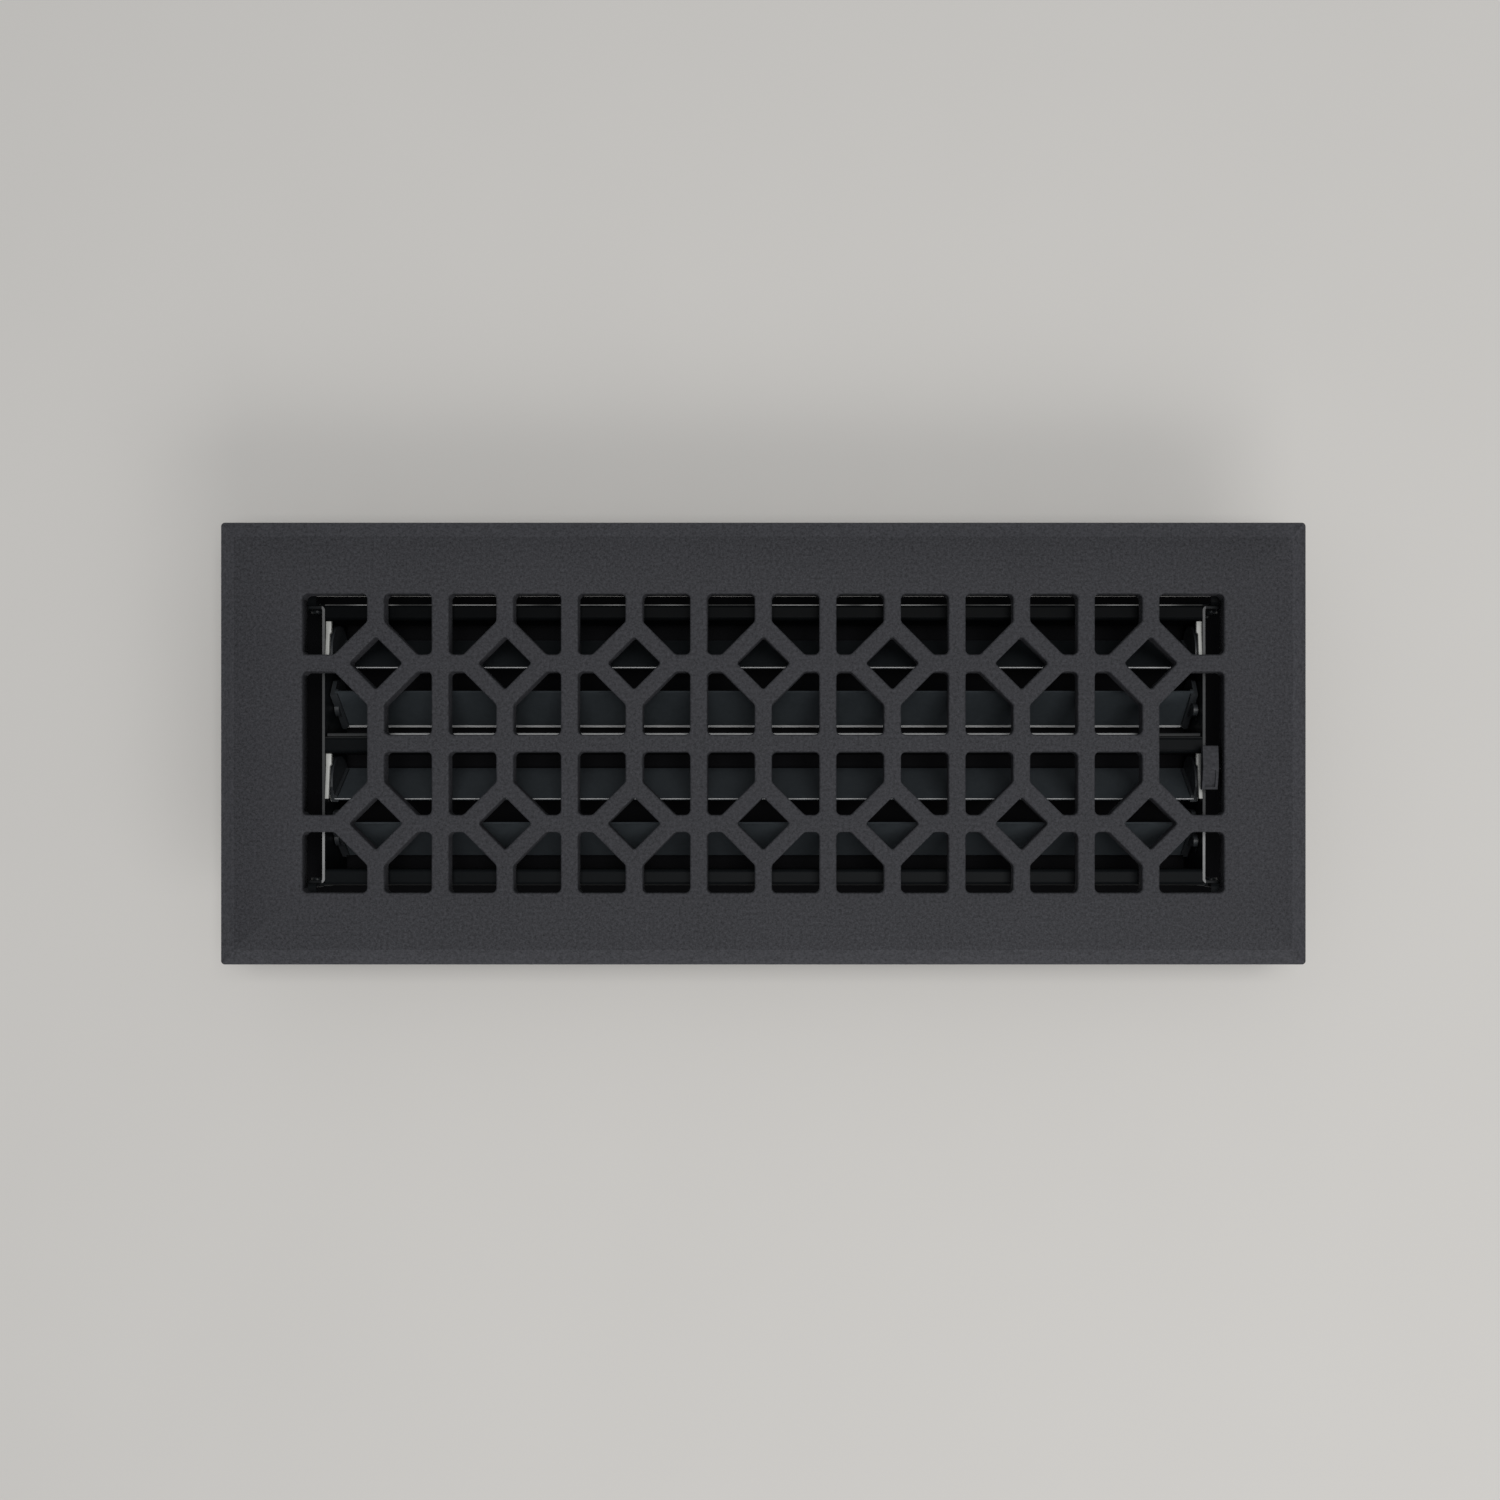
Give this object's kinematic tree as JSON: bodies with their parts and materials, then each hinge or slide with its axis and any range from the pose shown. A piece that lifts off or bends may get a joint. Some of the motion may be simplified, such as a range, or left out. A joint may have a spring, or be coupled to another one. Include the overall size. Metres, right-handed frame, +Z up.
{
  "type": "floor register",
  "caption": "Flat rectangular floor register: a cast lattice grille with diamond openings over an opposed-blade damper worked by a thumb lever.",
  "frame": {"origin": "centre of the plane on which the face plate's rim rests on the floor", "axes": "+X along the register's length towards the lever, +Y across it, +Z up out of the floor"},
  "size_m": [0.343, 0.1396, 0.0331],
  "materials": {
    "casting": "satin black powder coat with a fine speckle",
    "sheet": "black painted sheet steel with bare cut edges",
    "blade": "gloss black painted sheet steel with bare cut edges",
    "nylon": "natural white moulded nylon",
    "black_nylon": "black moulded nylon",
    "zinc": "bright zinc plate",
    "knob": "black moulded plastic"
  },
  "bodies": {
    "frame": {"face_plate": "casting", "side_rail_rear": "sheet", "side_rail_front": "sheet", "centre_rail": "sheet", "end_plate_left": "sheet", "end_plate_right": "sheet", "frame_rivets": "sheet", "mounting_screws": "zinc", "lever_pivot_rivet": "zinc", "lever_spacer": "zinc"},
    "lever": {"lever_arm": "sheet", "lever_knob": "knob", "lever_drive_pin": "zinc"},
    "link": {"link_bar": "sheet"},
    "blade_1": {"blade_1": "blade", "blade_cap_left_1": "nylon", "blade_cap_right_1": "nylon"},
    "blade_2": {"blade_2": "blade", "blade_cap_left_2": "black_nylon", "blade_cap_right_2": "black_nylon"},
    "blade_3": {"blade_3": "blade", "blade_cap_left_3": "nylon", "blade_cap_right_3": "nylon"},
    "blade_4": {"blade_4": "blade", "blade_cap_left_4": "black_nylon", "blade_cap_right_4": "black_nylon"}
  },
  "joints": [
    {"name": "lever_swing", "type": "hinge", "parent": "frame", "child": "lever", "pos_m": [0.1437, -0.006, -0.0228], "axis": [1, 0, 0], "range_deg": [-17.88, 11.38]},
    {"name": "link_slide", "type": "slide", "parent": "frame", "child": "link", "axis": [0, 1, 0], "range_m": [-0.00304, 0.00477]},
    {"name": "blade_1_turn", "type": "hinge", "parent": "frame", "child": "blade_1", "pos_m": [0, 0.0299, -0.0124], "axis": [1, 0, 0], "range_deg": [-35.05, 55.05]},
    {"name": "blade_2_turn", "type": "hinge", "parent": "frame", "child": "blade_2", "pos_m": [0, 0.0125, -0.0124], "axis": [1, 0, 0], "range_deg": [-55.05, 35.05]},
    {"name": "blade_3_turn", "type": "hinge", "parent": "frame", "child": "blade_3", "pos_m": [0, -0.0125, -0.0124], "axis": [1, 0, 0], "range_deg": [-35.05, 55.05]},
    {"name": "blade_4_turn", "type": "hinge", "parent": "frame", "child": "blade_4", "pos_m": [0, -0.0299, -0.0124], "axis": [1, 0, 0], "range_deg": [-55.05, 35.05]}
  ],
  "couplings": [
    {"joint": "link_slide", "follows": "lever_swing", "m_per_rad": -0.015233},
    {"joint": "blade_1_turn", "follows": "lever_swing", "ratio": -3.0763},
    {"joint": "blade_2_turn", "follows": "lever_swing", "ratio": 3.0763},
    {"joint": "blade_3_turn", "follows": "lever_swing", "ratio": -3.0763},
    {"joint": "blade_4_turn", "follows": "lever_swing", "ratio": 3.0763}
  ]
}
